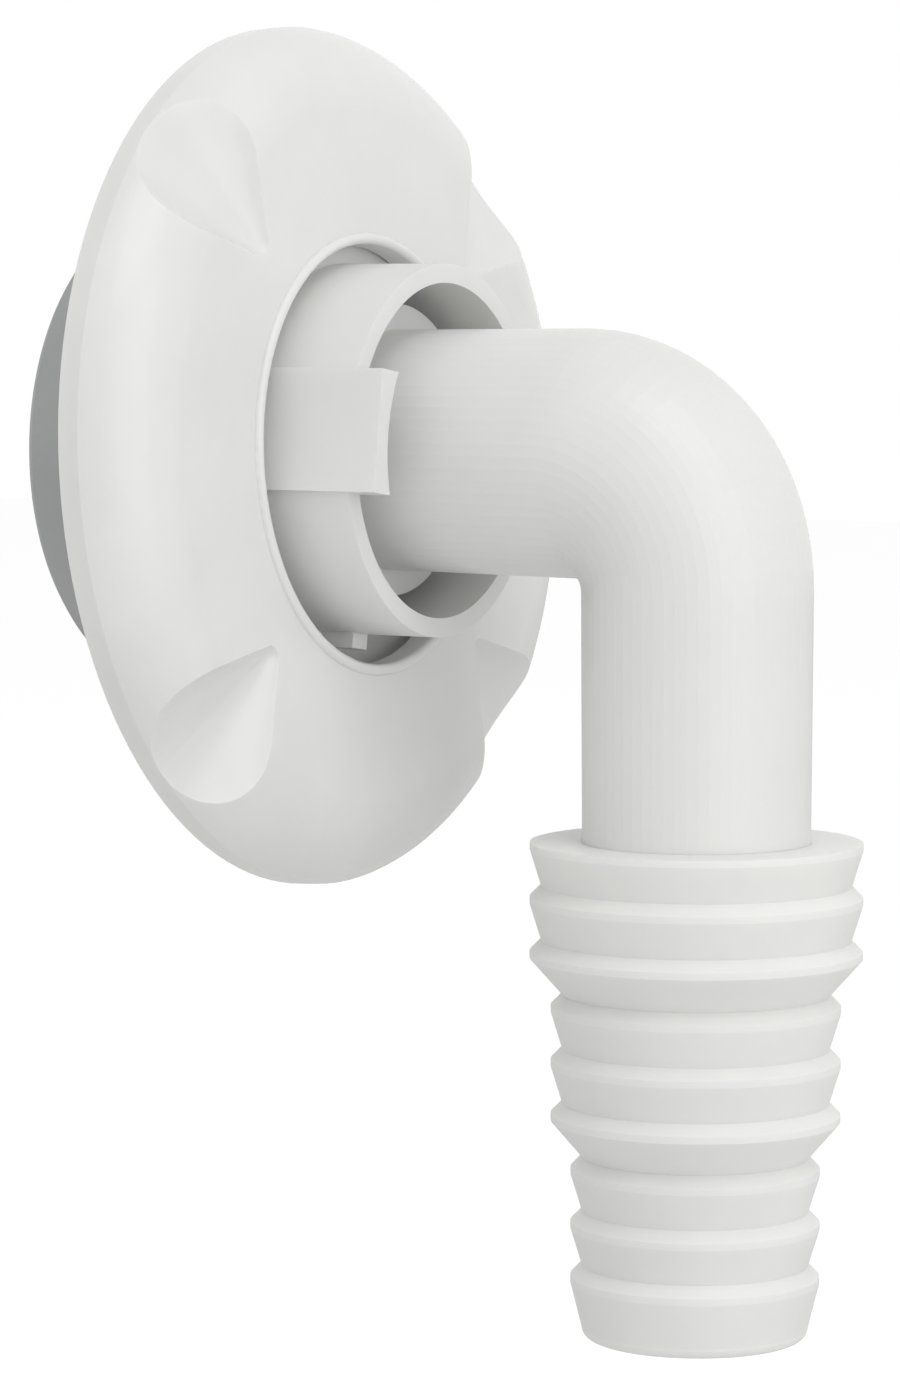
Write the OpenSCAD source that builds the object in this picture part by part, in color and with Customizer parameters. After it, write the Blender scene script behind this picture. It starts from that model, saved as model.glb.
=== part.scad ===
// Washing machine drain adapter: a swivelling 90 degree elbow with a stepped hose tail,
// held in a flanged collar that a captive four-lobed hand nut pulls onto a threaded spigot.
// The plug axis lies along X, the wall is towards -X and the hose hangs towards -Z.
// The origin is on the plug axis, where the seal's lip meets the end of the spigot.

/* [Waterway] */
// Bore through the elbow and the lower part of the hose tail
bore_d = 14.8; // [12:0.2:15.6]
// Distance from the origin to the axis of the falling leg
drop_x = 39.1; // [37:0.1:60]
// Depth of the hose tail's top face below the plug axis
tail_top = 32.6; // [28:0.1:60]

/* [Elbow] */
// Outside diameter of the part of the elbow that turns in the collar
journal_d = 20.8; // [20.6:0.1:22.6]
// Diameter of the shoulder that stops the elbow at the collar
stop_d = 25.4; // [23:0.2:27]
// Thickness of the stop shoulder
stop_t = 5.2; // [2:0.1:7]
// Outside diameter of the horizontal leg at the bend
run_d = 21.3; // [20.8:0.1:23]
// Outside diameter of the falling leg at the bend
drop_d = 19.6; // [19:0.1:20.8]
// Outside diameter of the falling leg at its lower end
drop_end_d = 19.2; // [18.6:0.1:19.6]
// Radius left in the inner corner of the bend
corner_r = 0.8; // [0.5:0.1:3]
// Number of snap fingers at the inlet end
finger_count = 4; // [3:1:8]
// Width of the slot between two snap fingers
finger_slot = 1.6; // [1:0.1:3]
// Length of the snap fingers
finger_len = 6; // [4:0.5:8]
// Height of the snap bead above the journal
bead_h = 0.7; // [0.4:0.1:1.2]
// Axial length of the snap bead
bead_len = 2.2; // [1.5:0.1:3]

/* [Elbow ring] */
// Thickness of the rubber ring between elbow and collar
ring_d = 1.8; // [1.4:0.1:2.2]
// Distance of the ring's groove in front of the origin
ring_x = -1.6; // [-3:0.1:0]

/* [Collar] */
// Outside diameter of the collar's cup
cup_d = 32.3; // [31:0.1:33]
// Wall of the cup
cup_wall = 1.65; // [1.2:0.05:2.2]
// Distance of the cup's rim from the origin
cup_rim_x = 14.4; // [11:0.1:18]
// Diameter of the flange that the hand nut pulls on
flange_d = 44.4; // [42.5:0.1:45]
// Thickness of the flange
flange_t = 2.2; // [1.6:0.1:3]
// Wall of the tube that carries the elbow
bearing_wall = 2.1; // [1.6:0.1:2.6]
// Reach of the tube that carries the elbow, behind the origin
bearing_reach = 9.5; // [8:0.5:12]
// Wall of the tube that carries the seal
spigot_wall = 2; // [1.6:0.1:2.4]
// Number of webs between the two rear tubes
web_count = 6; // [3:1:10]
// Thickness of a web
web_t = 1.4; // [1:0.1:2]

/* [Grip tabs] */
// Diameter across the two ribbed grip tabs
tab_across = 35.4; // [34.6:0.1:35.6]
// Width of a grip tab
tab_w = 10.4; // [7:0.1:14]
// Distance of the tabs' front ends from the origin
tab_end_x = 17.4; // [15.4:0.1:21]
// Number of ribs on a grip tab
rib_count = 10; // [5:1:12]
// Height of a rib
rib_h = 0.4; // [0.2:0.1:0.6]
// Angle of the tabs above the horizontal, on the near side
tab_turn = 8; // [0:1:20]
// Width of the nib under the cup
nib_w = 2.4; // [1.6:0.1:4]
// Length of the nib under the cup
nib_len = 3.2; // [2:0.1:6]
// Height of the nib above the cup
nib_h = 1.3; // [0.6:0.1:1.4]

/* [Seal] */
// Outside diameter of the rubber seal
seal_d = 42; // [40.6:0.1:43]
// Wall of the rubber seal
seal_wall = 2.8; // [2:0.1:3.4]
// Length of the seal that enters the spigot
seal_len = 15.2; // [13:0.1:20]
// Chamfer on the seal's rear edge
seal_chamfer = 0.8; // [0.4:0.1:1.5]
// Thickness of the seal's lip between spigot and flange
lip_t = 1.8; // [1.2:0.1:2.4]

/* [Hand nut] */
// Diameter of the nut's rear rim
nut_d = 75; // [70:0.5:80]
// Height of the nut from its rear rim to its front face
nut_h = 7.3; // [7:0.1:9]
// Diameter of the hole in the nut's front face
nut_hole_d = 36.6; // [36.4:0.1:37.5]
// Wall of the nut's shell
nut_wall = 2; // [1.6:0.1:2.4]
// Thickness of the ledge that bears on the collar's flange
ledge_t = 2; // [1.8:0.1:2.6]
// Radius of the rounded lip round the hole
lip_r = 0.5; // [0.3:0.1:0.8]
// Diameter at which the nut's face starts to fall towards the rim
face_d = 60.6; // [60.2:0.2:62]
// Radius of the nut's rounded shoulder
dome_r = 7.5; // [7.4:0.1:9]
// Diameter of the nut's thread, cut for a 1 1/2 inch pipe thread
thread_d = 47.8; // [46.5:0.1:49]
// Wall of the threaded tube inside the nut
thread_wall = 2.4; // [2:0.1:3]
// Reach of the threaded tube behind the nut's rear rim
thread_reach = 6; // [3:0.5:8]
// Number of lobes, with a scallop between each two
lobe_count = 4; // [3:1:6]
// Turn of the lobes away from the vertical
lobe_turn = 2.5; // [0:0.5:45]
// Diameter at which the scallops start
scallop_start_d = 47; // [46:0.5:52]
// Half angle of the cone that scoops a scallop
scallop_angle = 37; // [33:1:40]
// Angle at which the scoop's axis rises outwards
scallop_rise = 17; // [14:1:20]
// Radius of the scoop's rounded tip
scallop_tip_r = 1.2; // [0.6:0.1:2]
// Depth of the scoop's tip below the nut's face
scallop_tip_depth = 0.8; // [0.4:0.1:1]
// Number of stiffening ribs under each lobe
lobe_ribs = 3; // [1:2:5]
// Angle between the outer ribs of a lobe
lobe_rib_spread = 52; // [20:1:60]
// Thickness of a stiffening rib
lobe_rib_t = 1.4; // [1:0.1:2]
// Lean of the slack nut, its front face turned upwards
nut_lean = 3; // [0:0.5:3]
// Drop of the slack nut below the plug axis
nut_drop = 0.8; // [0:0.1:0.9]

/* [Hose tail] */
// Diameters of the steps, from the largest hose to the smallest
step_d = [28.2, 24.6, 21.2];
// Number of barbs on each step
barb_count = 3; // [2:1:4]
// Distance from one barb to the next
barb_pitch = 4.63; // [4:0.05:6]
// Height of a barb above its root
barb_h = 0.95; // [0.6:0.05:1.1]
// Length of the flat land on a barb
barb_land = 0.6; // [0.3:0.1:1]
// Length of the tapered nose below the last barb
nose_len = 5.4; // [4:0.1:8]
// Radius of the rounded lower end
nose_r = 1; // [0.5:0.1:1.2]
// Depth of the socket that takes the falling leg
socket_depth = 12.8; // [9:0.1:13.5]

/* [Fits] */
// Radial clearance between the elbow and the collar it turns in
turn_gap = 0.08; // [0.05:0.01:0.1]
// Axial clearance on each side of the elbow's snap and the slack nut
end_gap = 0.15; // [0.1:0.05:0.3]

/* [Hidden] */
$fn = 96;
eps = 0.01;

white = [0.90, 0.90, 0.89];
milky = [0.92, 0.92, 0.90];
pale_grey = [0.74, 0.75, 0.74];
dark_grey = [0.25, 0.25, 0.26];

bearing_r = journal_d / 2 + turn_gap;
cup_r = cup_d / 2;
cup_inner_r = cup_r - cup_wall;
flange_x = lip_t;
floor_x = flange_x + flange_t;
spigot_r = seal_d / 2 - seal_wall;
tab_r = tab_across / 2;

run_r = run_d / 2;
drop_r = drop_d / 2;
bend_x = drop_x - corner_r - drop_r;
bend_z = -corner_r - run_r;
inlet_x = -bearing_reach - end_gap - bead_len;
stop_x = floor_x + end_gap;
drop_end_z = -tail_top - socket_depth;

thread_r = thread_d / 2;
tube_r = thread_r + thread_wall;
ledge_n = nut_h - ledge_t;
nut_x = floor_x + end_gap + flange_d / 2 * sin(nut_lean) - ledge_n * cos(nut_lean);

last_barb = len(step_d) * barb_count - 1;
tail_end_z = -tail_top - last_barb * barb_pitch - nose_len;

module along_x() {
    rotate([0, 90, 0]) children();
}

module tube_x(r_out, r_in, x_from, x_to) {
    translate([x_from, 0, 0]) along_x() difference() {
        cylinder(r = r_out, h = x_to - x_from);
        translate([0, 0, -eps]) cylinder(r = r_in, h = x_to - x_from + 2 * eps);
    }
}

// Hand nut

// Solid of the nut's outer form, or that of its hollow when inset by the wall
module nut_dome(inset) {
    rotate_extrude() intersection() {
        translate([0, -inset]) square([nut_d / 2 - inset, nut_h]);
        union() {
            translate([0, -inset]) square([face_d / 2, nut_h]);
            translate([face_d / 2, nut_h - dome_r]) circle(r = dome_r - inset);
        }
    }
}

// Conical scoops between the lobes, grown by the shell's wall on its inner side
module scallops(grow) {
    tip = scallop_tip_r + grow;
    near = -tip * sin(scallop_angle);
    far = nut_d / 2;
    for (i = [0 : lobe_count - 1])
        rotate([0, 0, (i + 0.5) * 360 / lobe_count])
        translate([scallop_start_d / 2 + scallop_tip_r, 0, nut_h + scallop_tip_r - scallop_tip_depth])
        rotate([0, 90 - scallop_rise, 0]) {
            sphere(r = tip);
            translate([0, 0, near])
            cylinder(r1 = tip * cos(scallop_angle), h = far - near,
                     r2 = tip / cos(scallop_angle) + far * tan(scallop_angle));
        }
}

module nut_shell() {
    difference() {
        nut_dome(0);
        scallops(0);
        difference() {
            nut_dome(nut_wall);
            scallops(nut_wall);
        }
    }
}

module nut_ribs() {
    step = lobe_ribs > 1 ? lobe_rib_spread / (lobe_ribs - 1) : 0;
    intersection() {
        difference() {
            nut_dome(nut_wall / 2);
            scallops(nut_wall / 2);
        }
        for (i = [0 : lobe_count - 1], j = [0 : lobe_ribs - 1])
            rotate([0, 0, i * 360 / lobe_count + (j - (lobe_ribs - 1) / 2) * step])
            translate([tube_r - eps, -lobe_rib_t / 2, 0])
            cube([nut_d / 2, lobe_rib_t, nut_h]);
    }
}

module lobed_nut() {
    color(white)
    translate([nut_x, 0, -nut_drop])
    rotate([0, 90 - nut_lean, 0])
    rotate([0, 0, 180 - lobe_turn])
    difference() {
        union() {
            nut_shell();
            nut_ribs();
            translate([0, 0, -thread_reach]) cylinder(r = tube_r, h = thread_reach + nut_h - ledge_t / 2);
            translate([0, 0, nut_h]) rotate_extrude() translate([nut_hole_d / 2 + lip_r, 0]) circle(r = lip_r);
        }
        scallops(0);
        translate([0, 0, -thread_reach - eps]) cylinder(r = thread_r, h = thread_reach + ledge_n + eps);
        translate([0, 0, -eps]) cylinder(r = nut_hole_d / 2, h = nut_h + lip_r + 2 * eps);
    }
}

// Collar

module grip_tab() {
    pitch = (tab_end_x - floor_x) / (rib_count + 1);
    low_r = tab_r - rib_h;
    intersection() {
        along_x() rotate_extrude() polygon(concat(
            [[cup_inner_r, flange_x + eps], [cup_inner_r, tab_end_x], [low_r, tab_end_x]],
            [for (i = [rib_count - 1 : -1 : 0], k = [3 : -1 : 0])
                [k == 1 || k == 2 ? tab_r : low_r, floor_x + (i + 1 + (k - 1.5) / 4) * pitch]],
            [[low_r, flange_x + eps]]
        ));
        translate([0, -cup_r, -tab_w / 2]) cube([tab_end_x + eps, 2 * cup_r, tab_w]);
    }
}

module grip_collar() {
    color(white)
    rotate([-tab_turn, 0, 0]) {
        tube_x(flange_d / 2, bearing_r, flange_x, floor_x);
        tube_x(cup_r, cup_inner_r, floor_x - eps, cup_rim_x);
        tube_x(bearing_r + bearing_wall, bearing_r, -bearing_reach, flange_x + eps);
        tube_x(spigot_r, spigot_r - spigot_wall, -seal_len, flange_x + eps);
        grip_tab();
        translate([floor_x - eps, -nib_w / 2, -cup_r - nib_h]) cube([nib_len + eps, nib_w, nib_h + cup_wall / 2]);
        for (i = [0 : web_count - 1])
            rotate([i * 360 / web_count, 0, 0])
            translate([-bearing_reach, -web_t / 2, bearing_r + bearing_wall / 2])
            cube([bearing_reach + flange_x + eps, web_t, spigot_r - bearing_r - bearing_wall / 2 - spigot_wall / 2]);
    }
}

module wall_seal() {
    color(pale_grey)
    translate([-seal_len, 0, 0]) along_x()
    rotate_extrude() polygon([
        [spigot_r, 0], [seal_d / 2 - seal_chamfer, 0], [seal_d / 2, seal_chamfer], [seal_d / 2, seal_len],
        [flange_d / 2, seal_len], [flange_d / 2, seal_len + lip_t], [spigot_r, seal_len + lip_t]
    ]);
}

// Elbow

// Outer form of both legs and the bend: round sections around one inner corner, ending in the shoulder
module bent_body() {
    along = 16;
    around = 64;
    function section(centre, a, r) = [for (j = [0 : around - 1]) let (b = 360 * j / around)
        centre + r * [cos(b) * sin(a), sin(b), cos(b) * cos(a)]];
    function bend_r(t) = run_r + (drop_r - run_r) * (3 - 2 * t) * t * t;
    function bend_section(a) = let (r = bend_r(a / 90), c = corner_r + r)
        section([bend_x + c * sin(a), 0, bend_z + c * cos(a)], a, r);
    points = concat(
        section([stop_x + stop_t / 2, 0, 0], 0, journal_d / 2),
        [for (i = [0 : along]) each bend_section(90 * i / along)],
        section([drop_x, 0, drop_end_z], 90, drop_end_d / 2)
    );
    sides = [for (i = [0 : along + 1], j = [0 : around - 1])
        let (k = (j + 1) % around, p = i * around)
        [p + j, p + k, p + around + k, p + around + j]];
    first = [for (j = [around - 1 : -1 : 0]) j];
    last = [for (j = [0 : around - 1]) (along + 2) * around + j];
    polyhedron(points = points, faces = concat(sides, [first, last]), convexity = 4);
}

module bent_bore() {
    r = drop_x - bend_x;
    translate([inlet_x - eps, 0, 0]) along_x() cylinder(d = bore_d, h = bend_x - inlet_x + eps);
    translate([bend_x, 0, -r]) rotate([90, 0, 0])
    rotate_extrude(angle = 90) translate([r, 0]) circle(d = bore_d);
    translate([drop_x, 0, drop_end_z - eps]) cylinder(d = bore_d, h = -r - drop_end_z + eps);
}

module ring_groove() {
    w = ring_d * 1.3;
    tube_x(journal_d, journal_d / 2 + turn_gap - ring_d, ring_x - w / 2, ring_x + w / 2);
}

module elbow() {
    color(white)
    difference() {
        union() {
            translate([inlet_x, 0, 0]) along_x() {
                cylinder(d = journal_d, h = stop_x - inlet_x + eps);
                cylinder(r1 = journal_d / 2, r2 = journal_d / 2 + bead_h, h = bead_len - bead_h / 2);
                translate([0, 0, bead_len - bead_h / 2])
                cylinder(r1 = journal_d / 2 + bead_h, r2 = journal_d / 2, h = bead_h / 2);
            }
            translate([stop_x, 0, 0]) along_x() cylinder(d = stop_d, h = stop_t);
            bent_body();
        }
        bent_bore();
        ring_groove();
        for (i = [0 : finger_count - 1])
            rotate([45 + i * 360 / finger_count, 0, 0])
            translate([inlet_x - eps, -finger_slot / 2, 0])
            cube([finger_len + eps, finger_slot, journal_d]);
    }
}

module elbow_ring() {
    color(dark_grey)
    translate([ring_x, 0, 0]) along_x()
    rotate_extrude() translate([journal_d / 2 + turn_gap - ring_d / 2, 0]) circle(d = ring_d - 0.04);
}

// Hose tail

function step_r(k) = step_d[floor(k / barb_count)] / 2;
function barb_z(k) = -tail_top - k * barb_pitch;

module hose_tail() {
    root = [for (k = [0 : last_barb]) step_r(min(k + 1, last_barb)) - barb_h];
    color(milky)
    translate([drop_x, 0, 0]) difference() {
        rotate_extrude() polygon(concat(
            [[0, barb_z(0)]],
            [for (k = [0 : last_barb - 1]) each [
                [step_r(k), barb_z(k)],
                [step_r(k), barb_z(k) - barb_land],
                [root[k], barb_z(k + 1) + barb_h]]],
            [[step_r(last_barb), barb_z(last_barb)],
             [step_r(last_barb), barb_z(last_barb) - barb_land],
             [root[last_barb], tail_end_z + nose_r]],
            [for (a = [15 : 15 : 90])
                [root[last_barb] - nose_r * (1 - cos(a)), tail_end_z + nose_r * (1 - sin(a))]],
            [[0, tail_end_z]]
        ));
        translate([0, 0, drop_end_z]) cylinder(r1 = drop_end_d / 2, r2 = drop_r, h = bend_z - drop_end_z);
        translate([0, 0, tail_end_z - eps]) cylinder(d = bore_d, h = drop_end_z - tail_end_z + 2 * eps);
    }
}

lobed_nut();
grip_collar();
wall_seal();
elbow();
elbow_ring();
hose_tail();
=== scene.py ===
import math

import bpy
from mathutils import Matrix, Vector

AZIMUTH = 30.5
PITCH = 4.8
FOCAL_PX = 5000.0
FRAME_PX = (900, 1399)
SENSOR_MM = 36.0
AIM = Vector((0.0391, 0.0, 0.0))
AIM_PX = (698.0, 456.0)
AIM_DEPTH = 0.420
FLOOR_Z = -0.1115
FLOOR_SIZE = 4.0
FLOOR_GREY = 0.8
FLOOR_LIFT = 0.42
SKY_LIGHT = 0.70
LAMP_AIM = Vector((0.02, 0.0, -0.02))
KEY_PLACE = (0.35, -0.25, 0.65)
KEY_SIZE = 0.5
KEY_WATTS = 1.1
FILL_PLACE = (0.6, -0.3, 0.1)
FILL_SIZE = 0.6
FILL_WATTS = 1.2
PATCH_EDGES = (0.35, 0.65)
PLASTIC_PATCHES = 55.0
PLASTIC_IOR = 1.49
SCATTER_DEPTH = 0.0012
RUBBER_PATCHES = 90.0
RUBBER_GRAIN = 1400.0
RUBBER_GRAIN_DEPTH = 0.00004


def new_material(name):
    material = bpy.data.materials.new(name)
    material.use_nodes = True
    tree = material.node_tree
    tree.nodes.clear()
    output = tree.nodes.new("ShaderNodeOutputMaterial")
    return material, tree, output


def wear_mix(tree, colour, tint, scale):
    """Colour with faint cloudy patches of tint, in the object's own space."""
    coordinate = tree.nodes.new("ShaderNodeTexCoord")
    noise = tree.nodes.new("ShaderNodeTexNoise")
    noise.inputs["Scale"].default_value = scale
    noise.inputs["Detail"].default_value = 4.0
    noise.inputs["Roughness"].default_value = 0.55
    tree.links.new(coordinate.outputs["Object"], noise.inputs["Vector"])
    ramp = tree.nodes.new("ShaderNodeMapRange")
    ramp.inputs["From Min"].default_value, ramp.inputs["From Max"].default_value = PATCH_EDGES
    tree.links.new(noise.outputs["Fac"], ramp.inputs["Value"])
    mix = tree.nodes.new("ShaderNodeMix")
    mix.data_type = "RGBA"
    mix.inputs[6].default_value = (*colour, 1.0)
    mix.inputs[7].default_value = (*tint, 1.0)
    tree.links.new(ramp.outputs["Result"], mix.inputs["Factor"])
    return mix.outputs[2], coordinate


def fine_bump(tree, coordinate, scale, depth):
    """A fine grain in the surface, depth in metres."""
    noise = tree.nodes.new("ShaderNodeTexNoise")
    noise.inputs["Scale"].default_value = scale
    noise.inputs["Detail"].default_value = 2.0
    tree.links.new(coordinate.outputs["Object"], noise.inputs["Vector"])
    bump = tree.nodes.new("ShaderNodeBump")
    bump.inputs["Strength"].default_value = 1.0
    bump.inputs["Distance"].default_value = depth
    tree.links.new(noise.outputs["Fac"], bump.inputs["Height"])
    return bump.outputs["Normal"]


def plastic(name, colour, tint, roughness, scatter, bump_scale, bump_depth):
    """Moulded plastic with a little light passing under its skin."""
    material, tree, output = new_material(name)
    shader = tree.nodes.new("ShaderNodeBsdfPrincipled")
    base, coordinate = wear_mix(tree, colour, tint, PLASTIC_PATCHES)
    tree.links.new(base, shader.inputs["Base Color"])
    shader.inputs["Roughness"].default_value = roughness
    shader.inputs["IOR"].default_value = PLASTIC_IOR
    shader.inputs["Subsurface Weight"].default_value = scatter
    shader.inputs["Subsurface Radius"].default_value = (1.0, 0.95, 0.85)
    shader.inputs["Subsurface Scale"].default_value = SCATTER_DEPTH
    normal = fine_bump(tree, coordinate, bump_scale, bump_depth)
    tree.links.new(normal, shader.inputs["Normal"])
    tree.links.new(shader.outputs["BSDF"], output.inputs["Surface"])
    return material


def rubber(name, colour, tint):
    material, tree, output = new_material(name)
    shader = tree.nodes.new("ShaderNodeBsdfPrincipled")
    base, coordinate = wear_mix(tree, colour, tint, RUBBER_PATCHES)
    tree.links.new(base, shader.inputs["Base Color"])
    shader.inputs["Roughness"].default_value = 0.6
    shader.inputs["Specular IOR Level"].default_value = 0.35
    normal = fine_bump(tree, coordinate, RUBBER_GRAIN, RUBBER_GRAIN_DEPTH)
    tree.links.new(normal, shader.inputs["Normal"])
    tree.links.new(shader.outputs["BSDF"], output.inputs["Surface"])
    return material


def pale_stage(name):
    """A plain pale surface to the light, lifted to white for the camera, with its shadows kept."""
    material, tree, output = new_material(name)
    shader = tree.nodes.new("ShaderNodeBsdfDiffuse")
    shader.inputs["Color"].default_value = (FLOOR_GREY, FLOOR_GREY, FLOOR_GREY, 1.0)
    path = tree.nodes.new("ShaderNodeLightPath")
    lift = tree.nodes.new("ShaderNodeMath")
    lift.operation = "MULTIPLY"
    lift.inputs[1].default_value = FLOOR_LIFT
    tree.links.new(path.outputs["Is Camera Ray"], lift.inputs[0])
    glow = tree.nodes.new("ShaderNodeEmission")
    tree.links.new(lift.outputs["Value"], glow.inputs["Strength"])
    total = tree.nodes.new("ShaderNodeAddShader")
    tree.links.new(shader.outputs["BSDF"], total.inputs[0])
    tree.links.new(glow.outputs["Emission"], total.inputs[1])
    tree.links.new(total.outputs["Shader"], output.inputs["Surface"])
    return material


def white_world():
    world = bpy.data.worlds.new("studio")
    bpy.context.scene.world = world
    world.use_nodes = True
    tree = world.node_tree
    tree.nodes.clear()
    path = tree.nodes.new("ShaderNodeLightPath")
    seen = tree.nodes.new("ShaderNodeMath")
    seen.operation = "MAXIMUM"
    tree.links.new(path.outputs["Is Camera Ray"], seen.inputs[0])
    tree.links.new(path.outputs["Is Glossy Ray"], seen.inputs[1])
    lit = tree.nodes.new("ShaderNodeBackground")
    lit.inputs["Color"].default_value = (1.0, 1.0, 1.0, 1.0)
    lit.inputs["Strength"].default_value = SKY_LIGHT
    shown = tree.nodes.new("ShaderNodeBackground")
    shown.inputs["Color"].default_value = (1.0, 1.0, 1.0, 1.0)
    shown.inputs["Strength"].default_value = 1.0
    mix = tree.nodes.new("ShaderNodeMixShader")
    tree.links.new(seen.outputs["Value"], mix.inputs["Fac"])
    tree.links.new(lit.outputs["Background"], mix.inputs[1])
    tree.links.new(shown.outputs["Background"], mix.inputs[2])
    output = tree.nodes.new("ShaderNodeOutputWorld")
    tree.links.new(mix.outputs["Shader"], output.inputs["Surface"])


def area_light(name, place, size, power):
    """A square soft lamp turned to the middle of the part."""
    data = bpy.data.lights.new(name, "AREA")
    data.size = size
    data.energy = power
    lamp = bpy.data.objects.new(name, data)
    lamp.location = place
    lamp.rotation_euler = (LAMP_AIM - Vector(place)).to_track_quat("-Z", "Y").to_euler()
    bpy.context.scene.collection.objects.link(lamp)


def photo_camera():
    a, e = math.radians(AZIMUTH), math.radians(PITCH)
    right = Vector((math.cos(a), math.sin(a), 0.0))
    back = Vector((math.sin(a) * math.cos(e), -math.cos(a) * math.cos(e), math.sin(e)))
    up = back.cross(right)
    metres = AIM_DEPTH / FOCAL_PX
    across = (AIM_PX[0] - FRAME_PX[0] / 2) * metres
    above = (FRAME_PX[1] / 2 - AIM_PX[1]) * metres
    place = AIM - across * right - above * up + AIM_DEPTH * back
    data = bpy.data.cameras.new("camera")
    data.sensor_fit = "AUTO"
    data.sensor_width = SENSOR_MM
    data.lens = FOCAL_PX * SENSOR_MM / max(FRAME_PX)
    data.clip_start = 0.01
    data.clip_end = 20.0
    camera = bpy.data.objects.new("camera", data)
    camera.matrix_world = Matrix((
        (right.x, up.x, back.x, place.x),
        (right.y, up.y, back.y, place.y),
        (right.z, up.z, back.z, place.z),
        (0.0, 0.0, 0.0, 1.0),
    ))
    bpy.context.scene.collection.objects.link(camera)
    bpy.context.scene.camera = camera


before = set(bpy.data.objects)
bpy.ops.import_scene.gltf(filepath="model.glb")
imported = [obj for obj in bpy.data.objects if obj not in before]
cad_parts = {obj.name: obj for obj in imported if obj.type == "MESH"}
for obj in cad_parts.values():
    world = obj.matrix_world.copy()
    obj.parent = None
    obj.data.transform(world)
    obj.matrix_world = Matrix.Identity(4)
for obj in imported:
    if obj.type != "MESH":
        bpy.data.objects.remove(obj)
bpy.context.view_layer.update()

WHITE = (0.80, 0.80, 0.785)
looks = {
    "lobed_nut": plastic("nut_plastic", WHITE, (0.76, 0.765, 0.755), 0.24, 0.25, 260.0, 0.00002),
    "grip_collar": plastic("collar_plastic", WHITE, (0.77, 0.77, 0.76), 0.36, 0.25, 500.0, 0.00001),
    "elbow": plastic("elbow_plastic", WHITE, (0.775, 0.775, 0.765), 0.30, 0.30, 220.0, 0.00001),
    "hose_tail": plastic("tail_plastic", (0.83, 0.83, 0.81), (0.79, 0.795, 0.78), 0.52, 0.5, 420.0, 0.00003),
    "wall_seal": rubber("seal_rubber", (0.44, 0.45, 0.445), (0.41, 0.42, 0.415)),
    "elbow_ring": rubber("ring_rubber", (0.02, 0.02, 0.022), (0.035, 0.035, 0.036)),
}
for node, material in looks.items():
    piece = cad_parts[node]
    piece.data.materials.clear()
    piece.data.materials.append(material)

bpy.ops.mesh.primitive_plane_add(size=FLOOR_SIZE, location=(0.0, 0.0, FLOOR_Z))
floor = bpy.context.object
floor.name = "floor"
floor.data.materials.append(pale_stage("floor_paint"))

white_world()
photo_camera()
area_light("key", KEY_PLACE, KEY_SIZE, KEY_WATTS)
area_light("fill", FILL_PLACE, FILL_SIZE, FILL_WATTS)

bpy.context.scene.view_settings.view_transform = "Standard"
